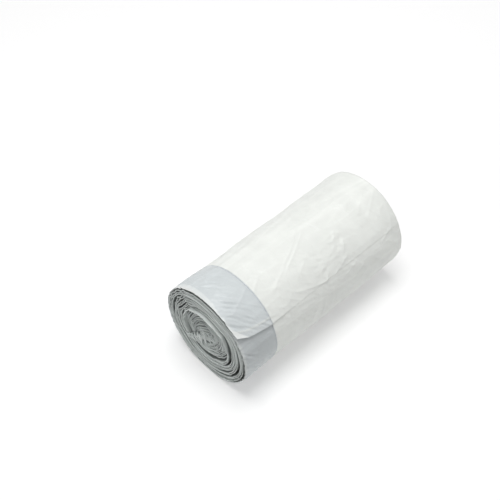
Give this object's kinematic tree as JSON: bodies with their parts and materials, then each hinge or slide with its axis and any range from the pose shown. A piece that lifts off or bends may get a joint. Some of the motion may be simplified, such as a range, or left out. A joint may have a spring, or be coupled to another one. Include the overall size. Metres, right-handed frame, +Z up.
{
  "type": "roll of drawstring cat litter bags",
  "caption": "Coreless roll of thin white drawstring bags for cat litter, wound with a grey drawtape in the hems at one end.",
  "frame": {"origin": "on the floor under the middle of the roll, at the centre of the flat that the roll rests on", "axes": "+X along the winding axis from the hem end towards the folded end, +Z up, loose tail of the web on the -Y side"},
  "size_m": [0.145, 0.0707, 0.0706],
  "materials": {
    "white_film": "thin white polyethylene film, slightly see-through, with a soft satin sheen and fine creases",
    "grey_tape": "blue-grey polyethylene tape, satin"
  },
  "bodies": {
    "root": {"wound_bag_film": "white_film", "wound_drawtape": "grey_tape"}
  },
  "joints": []
}
